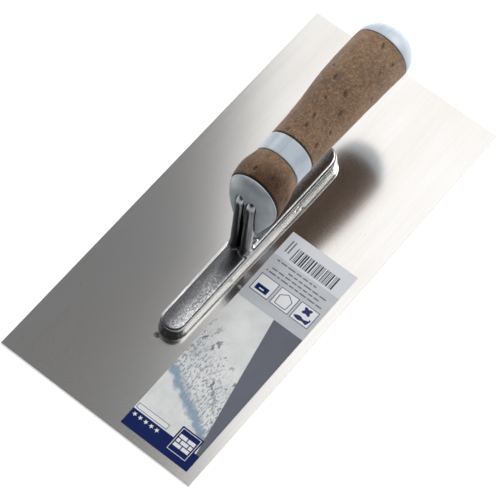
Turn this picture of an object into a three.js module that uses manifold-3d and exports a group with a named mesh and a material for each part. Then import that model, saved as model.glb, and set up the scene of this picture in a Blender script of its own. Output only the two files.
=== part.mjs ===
// Steel finishing trowel: a stainless blade riveted under a cast aluminium bar, whose
// double-ribbed neck bends back into a plastic and leather handle.
// Millimetres, +Z up. The origin is the middle of the blade's underside, and +X runs along
// the blade towards the free end of the handle.

import * as THREE from 'three';
import { mergeVertices } from 'three/addons/utils/BufferGeometryUtils.js';
import Module from 'manifold-3d';

const wasm = await Module();
wasm.setup();

// ---------------------------------------------------------------- driving dimensions

const FIT = 0.3; // gap between pieces that are fitted into each other

const BLADE = { length: 280, width: 130, thickness: 0.7 };

// Printed label: its front and right edges are set in from the blade's edges.
const LABEL = { length: 150, width: 45, thickness: 0.15, fromFront: 5.3, fromRight: 6 };

// Mounting bar: the flanks draw in from the foot's half widths to the top's.
const BAR = {
  front: -80.9, rear: 68, height: 10,
  halfFront: 8, halfRear: 10.6, widestAt: 38, halfTop: 7.4, edgeRound: 2.2,
};
const BAR_SIDE_STEPS = 4;
const BAR_LEVELS = [0, 0.4, 0.78, 0.85, 0.92, 0.97, 1]; // shares of the height
const EDGE_DRAW_IN = 0.7; // the top edge is rounded less across than down

const RIVETS = {
  count: 7, first: -65, pitch: 20, shank: 4, head: 6.4, headThickness: 0.6, depth: 6, gap: 0.1,
};

// Neck: two round ribs side by side with a deep groove between them, on a flat web.
const NECK = { ribRadius: 3.3, ribSpacing: 6.6, depth: 8.4, grooveDepth: 3.9, webHalf: 4.8, bevel: 2.4 };
const NECK_X = -15; // middle of the neck's foot
const NECK_HEIGHTS = [7, 10, 11, 12.5, 14.5, 30]; // it starts inside the bar
const NECK_END = -3; // the ribs run out into the round tang here
const BEND = { x: -6, z: 53, radius: 8, steps: 6 }; // the neck turns back into the handle here
const TANG = { rise: THREE.MathUtils.degToRad(1.5), radius: 5.6, start: -4.6, end: 28 };
const FOOT_FLARE = { height: 4, growth: 0.14 };

// Handle: knots of its outline. The heights are above the blade's top face, half is the widest
// half width, and taper says how much the lower half narrows towards its bottom.
const HANDLE = [
  { x: -24, middle: 49, top: 71.5, bottom: 23, half: 13, taper: 0.3 },
  { x: -9, middle: 54, top: 73, bottom: 24, half: 16.2, taper: 0.3 },
  { x: 0, middle: 59.5, top: 75.6, bottom: 38, half: 16.6, taper: 0.15 },
  { x: 10, middle: 61.6, top: 76, bottom: 47, half: 14.4, taper: 0 },
  { x: 21, middle: 62.4, top: 76.8, bottom: 48, half: 14.4, taper: 0 },
  { x: 45, middle: 63.6, top: 78.6, bottom: 48.4, half: 15.1, taper: 0 },
  { x: 67, middle: 66, top: 82.2, bottom: 49.6, half: 16.5, taper: 0 },
  { x: 84, middle: 66, top: 82.8, bottom: 49, half: 17.1, taper: 0 },
  { x: 106, middle: 64, top: 81.4, bottom: 46.6, half: 17.5, taper: 0 },
  { x: 120, middle: 63, top: 80.2, bottom: 46, half: 17.2, taper: 0 },
];

// Where the handle's pieces meet, along X.
const JOINT = { nose: -8.2, collarFront: 10.2, collarRear: 23, cap: 104.2 };
const NOSE_DEPTH = 8;
const CAP_DEPTH = 13.7;
const CAP_HOLLOW = { depth: 8.2, share: 0.64 }; // room for the screw's head
const SEAM = 0.8; // length of a dark seam ring
const SEAM_GAP = 0.15;
const EDGE = 0.7; // length of the eased edges at the joints
const EASED = 0.97; // the handle's outline at an eased edge
const SUNK = 0.965; // the seam rings' outline
const CORE = 0.82; // the core's outline, as a part of the handle's
const SLEEVE = 0.84; // the sleeves' inner outline

const SCREW = { radius: 3, end: 14, headRadius: 5, headHeight: 4.5, crown: { height: 1, width: 1.4 } };
const WASHER = { radius: 8, thickness: 1.5, hole: 3.4 };
const SCREW_SEAT = 101.6; // where the washer's seat is sunk into the core

const DOME_STEPS = 9;
const DOME_FULLNESS = 0.94; // 1 is a plain quarter ellipse, and less is fuller
const ROUND = 32; // sides of the handle's pieces
// Cross-sections of the handle: the first place, and the spacing before and after a change.
const STATION = { first: -12, fine: 3, coarse: 6, change: 24 };

// ---------------------------------------------------------------- materials

const steel = new THREE.MeshStandardMaterial({ color: '#a3a09d', roughness: 0.35, metalness: 1 });
const castMetal = new THREE.MeshStandardMaterial({ color: '#b4b3b0', roughness: 0.3, metalness: 1 });
const zinc = new THREE.MeshStandardMaterial({ color: '#8d9096', roughness: 0.4, metalness: 1 });
const leather = new THREE.MeshStandardMaterial({ color: '#8a6f57', roughness: 0.85, metalness: 0 });
const plastic = new THREE.MeshStandardMaterial({ color: '#b8c4d0', roughness: 0.35, metalness: 0 });
const darkSeam = new THREE.MeshStandardMaterial({ color: '#2a211c', roughness: 0.8, metalness: 0 });
const paper = new THREE.MeshStandardMaterial({ color: '#c3c7cc', roughness: 0.5, metalness: 0 });

// ---------------------------------------------------------------- helpers

// A closed three.js geometry as a solid for cutting and joining.
function toSolid(geometry) {
  const bare = geometry.clone();
  bare.deleteAttribute('normal');
  bare.deleteAttribute('uv');
  const merged = mergeVertices(bare, 1e-4);
  return new wasm.Manifold(new wasm.Mesh({
    numProp: 3,
    vertProperties: new Float32Array(merged.attributes.position.array),
    triVerts: new Uint32Array(merged.index.array),
  }));
}

function toGeometry(solid) {
  const mesh = solid.getMesh();
  const geometry = new THREE.BufferGeometry();
  geometry.setAttribute('position', new THREE.BufferAttribute(mesh.vertProperties, 3));
  geometry.setIndex(new THREE.BufferAttribute(mesh.triVerts, 1));
  geometry.computeVertexNormals();
  return geometry;
}

// Moves every vertex of a geometry by a function that changes the vector it is given.
function warp(geometry, move) {
  const place = geometry.attributes.position;
  const point = new THREE.Vector3();
  for (let i = 0; i < place.count; i += 1) {
    point.fromBufferAttribute(place, i);
    move(point);
    place.setXYZ(i, point.x, point.y, point.z);
  }
  return geometry;
}

// A cylinder along +Z between two heights.
function standingCylinder(radius, from, to, sides) {
  const geometry = new THREE.CylinderGeometry(radius, radius, to - from, sides);
  geometry.rotateX(Math.PI / 2);
  geometry.translate(0, 0, (from + to) / 2);
  return geometry;
}

// A smooth curve through one column of the handle's knots.
function outline(x, key) {
  let i = 0;
  while (i < HANDLE.length - 2 && x > HANDLE[i + 1].x) i += 1;
  const slope = (k) => {
    const a = HANDLE[Math.max(k - 1, 0)];
    const b = HANDLE[Math.min(k + 1, HANDLE.length - 1)];
    return (b[key] - a[key]) / (b.x - a.x);
  };
  const [p, q] = [HANDLE[i], HANDLE[i + 1]];
  const span = q.x - p.x;
  const t = (x - p.x) / span;
  const [t2, t3] = [t * t, t * t * t];
  return (2 * t3 - 3 * t2 + 1) * p[key] + (t3 - 2 * t2 + t) * span * slope(i)
    + (3 * t2 - 2 * t3) * q[key] + (t3 - t2) * span * slope(i + 1);
}

// A turned piece shaped to the handle. Its profile's points are [x, share], where the share is
// 1 on the handle's surface and 0 on its middle line. The outer side runs towards -X.
function handlePiece(profile) {
  const turned = new THREE.LatheGeometry(profile.map(([x, share]) => new THREE.Vector2(share, x)), ROUND);
  return warp(turned, (point) => {
    const [across, x, up] = point.toArray();
    const middle = outline(x, 'middle');
    const reach = up > 0 ? outline(x, 'top') - middle : middle - outline(x, 'bottom');
    const narrow = 1 - outline(x, 'taper') * Math.min(up, 0) ** 2;
    point.set(x, across * outline(x, 'half') * narrow, middle + up * reach);
  });
}

// The shared cross-section places strictly between two others, so that nested pieces agree.
function stationsBetween(from, to) {
  const places = [];
  for (let x = STATION.first; x < to; x += x < STATION.change ? STATION.fine : STATION.coarse) {
    if (x > from + 1 && x < to - 1) places.push(x);
  }
  return places;
}

// A quarter-round profile from x to the tip of a dome.
function dome(x, depth) {
  const points = [[x, 1]];
  for (let i = 1; i < DOME_STEPS; i += 1) {
    const angle = (i / DOME_STEPS) * (Math.PI / 2);
    points.push([x + depth * Math.sin(angle), Math.cos(angle) ** DOME_FULLNESS]);
  }
  points.push([x + depth, 0]);
  return points;
}

// ---------------------------------------------------------------- blade and label

function rivetPlaces() {
  return Array.from({ length: RIVETS.count }, (_, i) => RIVETS.first + i * RIVETS.pitch);
}

function bladeGeometry() {
  const sheet = new THREE.BoxGeometry(BLADE.length, BLADE.width, BLADE.thickness);
  sheet.translate(0, 0, BLADE.thickness / 2);
  let solid = toSolid(sheet);
  for (const x of rivetPlaces()) {
    const hole = standingCylinder(RIVETS.head / 2 + RIVETS.gap, -1, BLADE.thickness + 1, 24);
    hole.translate(x, 0, 0);
    solid = solid.subtract(toSolid(hole));
  }
  return toGeometry(solid);
}

function labelGeometry() {
  const geometry = new THREE.BoxGeometry(LABEL.length, LABEL.width, LABEL.thickness);
  geometry.translate(
    -BLADE.length / 2 + LABEL.fromFront + LABEL.length / 2,
    -BLADE.width / 2 + LABEL.fromRight + LABEL.width / 2,
    BLADE.thickness + LABEL.thickness / 2,
  );
  return geometry;
}

// ---------------------------------------------------------------- shank casting

// The neck's cross-section, grown by a margin. Shape x is across the blade and shape y is
// towards the neck's ribbed face.
function neckSection(grow) {
  const { ribRadius, ribSpacing, depth, grooveDepth, webHalf, bevel } = NECK;
  const [radius, side] = [ribRadius + grow, ribSpacing / 2];
  const [ribY, back] = [depth / 2 - ribRadius, -depth / 2 - grow];
  const innerTurn = Math.PI * 0.86; // how far each rib's round face runs into the groove
  const shape = new THREE.Shape();
  shape.moveTo(webHalf + grow, back);
  shape.lineTo(side + radius, back + bevel);
  shape.absarc(side, ribY, radius, 0, innerTurn, false);
  shape.lineTo(0, depth / 2 - grooveDepth + grow);
  shape.absarc(-side, ribY, radius, Math.PI - innerTurn, Math.PI, false);
  shape.lineTo(-side - radius, back + bevel);
  shape.lineTo(-webHalf - grow, back);
  shape.closePath();
  return shape;
}

// Places along the neck's middle line: up from the bar, round the bend, then into the handle.
function neckStations(end) {
  const foot = new THREE.Vector3(NECK_X, 0, NECK_HEIGHTS[0]);
  const bendStart = new THREE.Vector3(BEND.x - BEND.radius, 0, BEND.z);
  const rising = NECK_HEIGHTS.map((z) => foot.clone().lerp(bendStart, (z - foot.z) / (BEND.z - foot.z)));
  const bend = Array.from({ length: BEND.steps + 1 }, (_, i) => {
    const angle = ((Math.PI / 2 - TANG.rise) * i) / BEND.steps;
    const [back, up] = [BEND.radius * Math.cos(angle), BEND.radius * Math.sin(angle)];
    return new THREE.Vector3(BEND.x - back, 0, BEND.z + up);
  });
  const last = bend.at(-1);
  const inside = new THREE.Vector3(end, 0, last.z + (end - last.x) * Math.tan(TANG.rise));
  return [...rising, ...bend, inside];
}

// How much wider the neck's section is at a height, where its foot spreads onto the bar.
function footFlare(z) {
  const share = THREE.MathUtils.clamp(1 - (z - BAR.height) / FOOT_FLARE.height, 0, 1);
  return 1 + FOOT_FLARE.growth * share ** 2;
}

// The neck as a closed solid. Each place along its middle line carries the section square to
// the line, with the ribs on the outside of the bend.
function neckGeometry(end, grow = 0) {
  const stations = neckStations(end);
  const steps = stations.length - 1;
  const geometry = new THREE.ExtrudeGeometry(neckSection(grow), {
    depth: steps, steps, bevelEnabled: false, curveSegments: 7,
  });
  return warp(geometry, (point) => {
    const i = Math.round(point.z);
    const along = stations[Math.min(i + 1, steps)].clone().sub(stations[Math.max(i - 1, 0)]).normalize();
    const ribSide = new THREE.Vector3(-along.z, 0, along.x);
    const scale = footFlare(stations[i].z);
    const [across, out] = [point.x * scale, point.y * scale];
    point.copy(stations[i]).addScaledVector(ribSide, out);
    point.y = across;
  });
}

// The bar's half width at its foot, which grows towards the rear and then stays the same.
function barHalfWidth(x) {
  const share = (x - BAR.front) / (BAR.widestAt - BAR.front);
  return THREE.MathUtils.lerp(BAR.halfFront, BAR.halfRear, Math.min(1, share));
}

// The bar: an outline of two nearly parallel sides and round ends, drawn in level by level
// towards the top. The rear end stands upright and the front end leans in.
function barGeometry() {
  const [frontX, rearX] = [BAR.front + BAR.halfFront, BAR.rear - BAR.halfRear];
  const sides = [];
  for (let i = 0; i <= BAR_SIDE_STEPS; i += 1) {
    sides.push(THREE.MathUtils.lerp(frontX, rearX, i / BAR_SIDE_STEPS));
  }
  const plan = new THREE.Shape();
  plan.moveTo(frontX, -BAR.halfFront);
  for (const x of sides.slice(1)) plan.lineTo(x, -barHalfWidth(x));
  plan.absarc(rearX, 0, BAR.halfRear, -Math.PI / 2, Math.PI / 2, false);
  for (const x of sides.slice(1, -1).reverse()) plan.lineTo(x, barHalfWidth(x));
  plan.absarc(frontX, 0, BAR.halfFront, Math.PI / 2, Math.PI * 1.5, false);
  const steps = BAR_LEVELS.length - 1;
  const geometry = new THREE.ExtrudeGeometry(plan, {
    depth: steps, steps, bevelEnabled: false, curveSegments: 14,
  });
  return warp(geometry, (point) => {
    const share = BAR_LEVELS[Math.round(point.z)];
    const middleX = THREE.MathUtils.clamp(point.x, frontX, rearX);
    const half = Math.hypot(point.x - middleX, point.y);
    const over = Math.max(0, BAR.edgeRound - BAR.height * (1 - share)) / BAR.edgeRound;
    const rounding = EDGE_DRAW_IN * BAR.edgeRound * (1 - Math.sqrt(1 - over * over));
    const drawnIn = THREE.MathUtils.lerp(half, BAR.halfTop, share) - rounding;
    const atEnd = point.x > rearX ? half - rounding : drawnIn;
    const endX = middleX + ((point.x - middleX) * atEnd) / half;
    point.set(endX, (point.y * drawnIn) / half, share * BAR.height);
  });
}

function shankGeometry() {
  const { radius, start, end } = TANG;
  const [hole, bottom] = [SCREW.radius + FIT, SCREW.end - 1];
  const tang = alongScrew([[0, start], [radius, start], [radius, end], [hole, end], [hole, bottom],
    [0, bottom]], 24);
  let solid = toSolid(barGeometry()).add(toSolid(neckGeometry(NECK_END))).add(toSolid(tang));
  for (const x of rivetPlaces()) {
    const rivetHole = standingCylinder(RIVETS.shank / 2 + RIVETS.gap, -1, RIVETS.depth + FIT, 16);
    rivetHole.translate(x, 0, 0);
    solid = solid.subtract(toSolid(rivetHole));
  }
  return toGeometry(solid);
}

// Lays a shape made along +Z onto the tang's middle line, so that z becomes the place along X.
function screwLine(geometry) {
  geometry.rotateY(Math.PI / 2 - TANG.rise);
  const bendTop = BEND.z + BEND.radius * Math.cos(TANG.rise);
  geometry.translate(0, 0, bendTop - BEND.x * Math.tan(TANG.rise));
  return geometry;
}

// A piece turned about the tang's middle line. Its profile's points are [radius, place along X].
function alongScrew(profile, sides) {
  const geometry = new THREE.LatheGeometry(profile.map(([r, x]) => new THREE.Vector2(r, x)), sides);
  geometry.rotateX(Math.PI / 2);
  return screwLine(geometry);
}

function rivetGeometry() {
  const { head, shank, headThickness, depth } = RIVETS;
  const top = BLADE.thickness + depth;
  const profile = [[0, 0], [head / 2, 0], [head / 2, headThickness], [shank / 2, headThickness],
    [shank / 2, top], [0, top]];
  const geometry = new THREE.LatheGeometry(profile.map(([r, z]) => new THREE.Vector2(r, z)), 16);
  geometry.rotateX(Math.PI / 2);
  return geometry;
}

// ---------------------------------------------------------------- handle

// The room that the neck, the tang, the screw and its washer need inside the handle.
function innerRoom() {
  const [tang, screw, washer] = [TANG, SCREW, WASHER].map(({ radius }) => radius + FIT);
  const [start, shoulder, rear] = [TANG.start - FIT, TANG.end + 2, SCREW_SEAT + 20];
  const bore = alongScrew([[0, start], [tang, start], [tang, shoulder], [screw, shoulder],
    [screw, SCREW_SEAT], [washer, SCREW_SEAT], [washer, rear], [0, rear]], 24);
  return toSolid(neckGeometry(NECK_END + FIT, FIT)).add(toSolid(bore));
}

function noseGeometry() {
  const back = JOINT.nose - SEAM / 2;
  const profile = [[back, 0], [back, EASED], ...dome(back - EDGE, EDGE - NOSE_DEPTH)];
  return toGeometry(toSolid(handlePiece(profile)).subtract(innerRoom()));
}

function coreGeometry() {
  const [front, rear] = [JOINT.nose - SEAM / 2 + FIT, JOINT.cap - FIT];
  const profile = [[front, 0], [front, CORE]];
  for (const x of stationsBetween(front, rear)) profile.push([x, CORE]);
  profile.push([rear, CORE], [rear, 0]);
  profile.reverse();
  return toGeometry(toSolid(handlePiece(profile)).subtract(innerRoom()));
}

// A tube over the core between two places, closed on itself, with eased outer edges.
function sleeveGeometry(from, to) {
  const places = stationsBetween(from, to);
  const inner = [from, ...places, to].map((x) => [x, SLEEVE]);
  const outer = places.map((x) => [x, 1]);
  const eased = [[to, EASED], [to - EDGE, 1], ...outer.reverse(), [from + EDGE, 1], [from, EASED]];
  return handlePiece([...inner, ...eased, inner[0]]);
}

// A dark ring lying in the joint at x, slightly below the handle's surface.
function seamGeometry(x) {
  const half = SEAM / 2 - SEAM_GAP;
  return handlePiece([[x - half, SLEEVE], [x + half, SLEEVE], [x + half, SUNK], [x - half, SUNK],
    [x - half, SLEEVE]]);
}

function endCapGeometry() {
  const front = JOINT.cap;
  const cavity = [[front + CAP_HOLLOW.depth, 0], [front + CAP_HOLLOW.depth, CAP_HOLLOW.share],
    [front, CAP_HOLLOW.share]];
  const shell = [[front, EASED], ...dome(front + EDGE, CAP_DEPTH - EDGE)];
  return handlePiece([...cavity, ...shell].reverse());
}

function washerGeometry() {
  const shape = new THREE.Shape().absarc(0, 0, WASHER.radius, 0, Math.PI * 2, false);
  shape.holes.push(new THREE.Path().absarc(0, 0, WASHER.hole, 0, Math.PI * 2, true));
  const geometry = new THREE.ExtrudeGeometry(shape, {
    depth: WASHER.thickness, bevelEnabled: false, curveSegments: 20,
  });
  geometry.translate(0, 0, SCREW_SEAT + FIT);
  return screwLine(geometry);
}

function screwGeometry() {
  const under = SCREW_SEAT + WASHER.thickness + 2 * FIT;
  const { radius, end, headRadius, headHeight, crown } = SCREW;
  const top = under + headHeight;
  const profile = [[0, end], [radius, end], [radius, under], [headRadius, under],
    [headRadius, top - crown.height], [headRadius - crown.width, top], [0, top]];
  return alongScrew(profile, 16);
}

// ---------------------------------------------------------------- assembly

const trowel = new THREE.Group();

function piece(name, geometry, material, parent = trowel) {
  const mesh = new THREE.Mesh(geometry, material);
  mesh.name = name;
  parent.add(mesh);
  return mesh;
}

piece('blade', bladeGeometry(), steel);
piece('blade_label', labelGeometry(), paper);

rivetPlaces().forEach((x, i) => {
  piece(`blade_rivet_${i + 1}`, rivetGeometry(), zinc).position.x = x;
});

// Everything above the blade is measured from the blade's top face.
const above = new THREE.Group();
above.position.z = BLADE.thickness;
trowel.add(above);

const { nose, collarFront, collarRear, cap } = JOINT;
piece('shank_casting', shankGeometry(), castMetal, above);
piece('handle_nose', noseGeometry(), plastic, above);
piece('handle_core', coreGeometry(), plastic, above);
piece('nose_seam_ring', seamGeometry(nose), darkSeam, above);
piece('front_grip_sleeve', sleeveGeometry(nose + SEAM / 2, collarFront - FIT / 2), leather, above);
piece('handle_collar', sleeveGeometry(collarFront + FIT / 2, collarRear - SEAM / 2), plastic, above);
piece('collar_seam_ring', seamGeometry(collarRear), darkSeam, above);
piece('rear_grip_sleeve', sleeveGeometry(collarRear + SEAM / 2, cap - FIT), leather, above);
piece('handle_end_cap', endCapGeometry(), plastic, above);
piece('screw_washer', washerGeometry(), zinc, above);
piece('handle_screw', screwGeometry(), zinc, above);

export default trowel;
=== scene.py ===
"""A steel finishing trowel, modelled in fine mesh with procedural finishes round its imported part.

The blade lies on the floor with its working face down. +X runs along the blade towards the
handle's free end, +Y is across the blade and +Z is up. Lengths in the tables below are
millimetres, and one function turns them into the scene's metres.
"""

import math
from functools import partial

import bmesh
import bpy
import numpy as np
from bpy.props import FloatProperty, FloatVectorProperty, IntProperty, PointerProperty
from mathutils import Matrix, Vector


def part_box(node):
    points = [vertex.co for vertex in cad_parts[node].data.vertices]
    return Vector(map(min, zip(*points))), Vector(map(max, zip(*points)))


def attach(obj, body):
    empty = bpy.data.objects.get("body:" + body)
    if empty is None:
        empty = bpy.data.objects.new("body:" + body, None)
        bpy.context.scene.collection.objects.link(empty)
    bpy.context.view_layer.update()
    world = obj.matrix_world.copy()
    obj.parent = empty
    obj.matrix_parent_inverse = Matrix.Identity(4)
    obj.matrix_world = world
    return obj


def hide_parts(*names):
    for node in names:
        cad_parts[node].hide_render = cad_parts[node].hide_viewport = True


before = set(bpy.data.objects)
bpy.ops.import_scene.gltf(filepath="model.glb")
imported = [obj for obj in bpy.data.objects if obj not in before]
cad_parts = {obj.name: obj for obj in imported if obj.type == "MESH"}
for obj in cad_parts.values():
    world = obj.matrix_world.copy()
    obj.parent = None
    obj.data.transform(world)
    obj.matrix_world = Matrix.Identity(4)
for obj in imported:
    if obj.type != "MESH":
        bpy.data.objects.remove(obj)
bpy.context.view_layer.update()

bl_info = {
    "name": "Finishing Trowel",
    "version": (1, 0, 0),
    "blender": (4, 5, 0),
    "location": "3D View > Sidebar > Trowel",
    "description": "Builds a steel finishing trowel with a leather and plastic handle",
    "category": "Add Mesh",
}

MM = 0.001
BLADE_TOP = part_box("blade")[1].z / MM
LABEL_LOW, LABEL_HIGH = (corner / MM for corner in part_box("blade_label"))

# The handle's outline. The heights are above the blade's top face, half is the widest half
# width, and taper says how much the lower half narrows towards its bottom.
HANDLE = np.array(
    [  # x, middle, top, bottom, half, taper
        (-24, 49, 71.5, 23, 13, 0.3),
        (-9, 54, 73, 24, 16.2, 0.3),
        (0, 59.5, 75.6, 38, 16.6, 0.15),
        (10, 61.6, 76, 47, 14.4, 0),
        (21, 62.4, 76.8, 48, 14.4, 0),
        (45, 63.6, 78.6, 48.4, 15.1, 0),
        (67, 66, 82.2, 49.6, 16.5, 0),
        (84, 66, 82.8, 49, 17.1, 0),
        (106, 64, 81.4, 46.6, 17.5, 0),
        (120, 63, 80.2, 46, 17.2, 0),
    ],
    float,
)
MIDDLE, TOP, BOTTOM, HALF, TAPER = range(1, 6)

# Where the handle's pieces meet, along X.
NOSE_END = -8.6
NOSE_SEAM = -8.2
FRONT_SLEEVE = (-7.8, 10.05)
COLLAR = (10.35, 22.6)
COLLAR_SEAM = 23
REAR_SLEEVE = (23.4, 102.9)
CAP_START = 103.2
NOSE_DEPTH = 8
CAP_DEPTH = 16.2
INNER = 0.84  # the sleeves' inner outline, as a share of the handle's

# Mounting bar. Its foot is as (height, how far the outline is drawn in), and its top edge is
# rounded more in height than across.
BAR_FRONT, BAR_REAR, BAR_WIDEST = -80.9, 68.0, 38.0
BAR_HALF_FRONT, BAR_HALF_REAR, BAR_HALF_TOP = 8.0, 10.6, 7.4
BAR_HEIGHT = 10.0
BAR_EDGE, BAR_EDGE_ACROSS = 2.2, 1.54
FOOT_LIP = [(0, -0.35), (1.0, -0.35), (1.4, 0)]

# Open pores in the bar's right flank, as (x, y, height, size), and the waves that buffing
# leaves in the casting, as (depth, length, seed).
PORES = [(27.1, -8.8, 6.6, 0.6), (28.6, -9.6, 3.4, 0.5), (24.2, -9.0, 5.6, 0.5)]
PORE_DEPTH = 0.4
WAVES = [(0.035, 16, 5), (0.008, 5, 6)]

# Neck: two round ribs side by side with a deep groove between them, on a flat web.
RIB_RADIUS, RIB_SPACING, NECK_DEPTH, GROOVE_DEPTH, WEB_HALF = 3.1, 6.8, 8.4, 4.7, 4.2
GROOVE_TURN = 0.86 * math.pi  # how far round each rib its outline runs before the groove
WEB_BEVEL = 2.9
FOOT_SPREAD, FOOT_REACH = 0.10, 4.0  # the foot's growth, and the height that it fades over
NECK_X, NECK_START, NECK_END = -15.0, 6.0, -3.0
BEND_X, BEND_Z, BEND_RADIUS = -6.0, 53.0, 8.0
TANG_RISE = math.radians(1.5)
TANG_RADIUS, TANG_START, TANG_END = 5.6, -4.6, 28.0

# The small web behind the neck's foot: its side as (x, height), and its half width.
GUSSET = [(-13.5, 8.5), (-4.2, 8.5), (-6.4, 10.6), (-9.8, 13.4), (-11.2, 18.0), (-13.5, 18.0)]
GUSSET_HALF = 4.6

# The nose's lower half: its step in from the sleeve, how far its sides draw in, and its droop.
NOSE_STEP, NOSE_PINCH, NOSE_DROOP = 0.07, 0.10, 4.5

# Rust-brown stains beside the bar, as (x, y, radius, strength).
STAINS = [(-82.6, 3.4, 3.0, 0.85), (-30.8, -12.6, 1.8, 0.5)]

RIVET_PLACES = [-65 + 20 * i for i in range(7)]

# A rivet's outline as (radius, height), from the middle of its head: the flat head, the shank.
RIVET = [(0.02, 0.07), (1.4, 0.055), (2.75, 0.03), (2.9, 0), (3.05, 0.02), (3.2, 0.14)]
RIVET += [(3.2, 0.6), (2, 0.62), (2, 6.6), (1.9, 6.7), (0.02, 6.7)]

PIT_SKIP = 0.25  # the share of places in the leather's grid that get no pit

INK, INK_GAP = 0.012, 0.002  # thickness of a printed area, and the first one's lift

# The lens in millimetres, and the place that the camera looks at.
LENS = 171.35
AIM = (-9.3, -2.64, BLADE_TOP)

# Soft lights: name, place and aim in metres, width, depth, turn in degrees, brightness.
LIGHTS = [
    ("main_softbox", (0.89, -0.19, 0.87), (0.89, -0.19, 0), 1.5, 1.3, 32, 1.23),
    ("left_softbox", (0.42, 1.0, 0.60), (0, 0, 0.04), 0.7, 0.5, 0, 3.8),
    ("rear_softbox", (0.98, -0.48, 0.75), (0.05, 0, 0.04), 0.8, 0.6, 0, 5.0),
]


# ------------------------------------------------------------------ colour and nodes


def linear(code):
    """The linear RGBA colour of an sRGB hex value."""
    channels = [int(code[i : i + 2], 16) / 255 for i in (1, 3, 5)]
    return [c / 12.92 if c <= 0.04045 else ((c + 0.055) / 1.055) ** 2.4 for c in channels] + [1]


# What each short name stands for: a node's type, the inputs that values go to in turn, the
# output that is used, and settings.
NODES = {
    "place": ("ShaderNodeTexCoord", (), "Object", {}),
    "direction": ("ShaderNodeTexCoord", (), "Generated", {}),
    "facing": ("ShaderNodeNewGeometry", (), "Normal", {}),
    "attribute": ("ShaderNodeAttribute", (), "Fac", {}),
    "mapping": ("ShaderNodeMapping", ("Vector", "Scale", "Location"), 0, {}),
    "noise": ("ShaderNodeTexNoise", ("Vector", "Scale", "Detail", "Roughness"), "Fac", {}),
    "range": (
        "ShaderNodeMapRange",
        ("Value", "From Min", "From Max", "To Min", "To Max"),
        "Result",
        {"interpolation_type": "SMOOTHSTEP"},
    ),
    "mix": ("ShaderNodeMix", (0, 6, 7), 2, {"data_type": "RGBA"}),
    "tint": ("ShaderNodeMix", (0, 6, 7), 2, {"data_type": "RGBA", "blend_type": "MULTIPLY"}),
    "distance": ("ShaderNodeVectorMath", (0, 1), "Value", {"operation": "DISTANCE"}),
    "dot": ("ShaderNodeVectorMath", (0, 1), "Value", {"operation": "DOT_PRODUCT"}),
    "bump": ("ShaderNodeBump", ("Height", "Distance", "Normal"), "Normal", {}),
}
for axis in "XYZ":
    NODES[axis] = ("ShaderNodeSeparateXYZ", (0,), axis, {})
for operation in ("ADD", "SUBTRACT", "MULTIPLY", "MAXIMUM", "ABSOLUTE"):
    NODES[operation.lower()] = ("ShaderNodeMath", (0, 1), 0, {"operation": operation})


def add(tree, kind, *values, **settings):
    """Adds a node and gives its output. Each value is a constant or the output that feeds it."""
    node_type, inputs, output, usual = NODES[kind]
    node = tree.nodes.new(node_type)
    for name, setting in {**usual, **settings}.items():
        setattr(node, name, setting)
    for name, value in zip(inputs, values):
        if isinstance(value, bpy.types.NodeSocket):
            tree.links.new(value, node.inputs[name])
        else:
            node.inputs[name].default_value = value
    return node.outputs[output]


def material(name, **sockets):
    """A material, a function that adds nodes to it, and its Principled shader, on whose own
    sockets the constants are set."""
    made = bpy.data.materials.new(name)
    made.use_nodes = True
    shader = made.node_tree.nodes["Principled BSDF"]
    for socket, value in sockets.items():
        shader.inputs[socket.replace("_", " ").title().replace("Ior", "IOR")].default_value = value
    return made, partial(add, made.node_tree), shader


def pattern(node, size, stretch=(1, 1, 1), detail=3.0, roughness=0.55, offset=(0, 0, 0)):
    """Cloudy noise with features of a size in millimetres, drawn out along some axes."""
    scale = [1 / (size * MM) / share for share in stretch]
    place = node("mapping", node("place"), scale, offset)
    return node("noise", place, 1.0, detail, roughness)


def layered(node, colour, *layers):
    """Colours laid over a first one. Each layer has the value that brings it in, the range of
    that value, the layer's shares at the range's ends, and a colour."""
    for value, low, high, share_low, share_high, code in layers:
        share = node("range", value, low, high, share_low, share_high)
        colour = node("mix", share, colour, linear(code))
    return colour


def skinned(shader, colour, roughness, *reliefs, **others):
    """Feeds a shader's sockets. The reliefs are height patterns with depths in millimetres."""
    tree = shader.id_data
    normal = None
    for height, depth in reliefs:
        under = [] if normal is None else [normal]
        normal = add(tree, "bump", height, depth * MM, *under)
    fed = {"Base Color": colour, "Roughness": roughness, "Normal": normal, **others}
    for name, value in fed.items():
        tree.links.new(value, shader.inputs[name])


# ------------------------------------------------------------------ mesh helpers


def tube(rings, closed=False):
    """Faces through rings of points. The ends are capped, or joined if the tube is closed."""
    count, around = rings.shape[:2]
    index = np.arange(count * around).reshape(count, around)
    if closed:
        index = np.vstack([index, index[:1]])
    turned = np.roll(index, -1, axis=1)
    faces = np.stack([index[:-1], turned[:-1], turned[1:], index[1:]], axis=-1)
    faces = faces.reshape(-1, 4).tolist()
    if not closed:
        faces += [index[0][::-1].tolist(), index[-1].tolist()]
    return rings.reshape(-1, 3), faces


def placed(name, data):
    """A new object in the scene."""
    obj = bpy.data.objects.new(name, data)
    bpy.context.scene.collection.objects.link(obj)
    return obj


def piece(name, shape, replaced=(), sharp=40):
    """A smooth mesh piece on the tool, from points in millimetres above the blade's underside."""
    points, faces = shape
    mesh = bpy.data.meshes.new(name)
    mesh.from_pydata((np.asarray(points) * MM).tolist(), [], faces)
    work = bmesh.new()
    work.from_mesh(mesh)
    bmesh.ops.recalc_face_normals(work, faces=work.faces)
    work.to_mesh(mesh)
    work.free()
    obj = placed(name, mesh)
    finish_mesh(obj, sharp)
    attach(obj, "root")
    if replaced:
        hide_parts(*replaced)
    return obj


def finish_mesh(obj, sharp):
    """Smooth shading, with edges sharper than an angle in degrees left crisp."""
    obj.data.shade_smooth()
    obj.data.set_sharp_from_angle(angle=math.radians(sharp))


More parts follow.
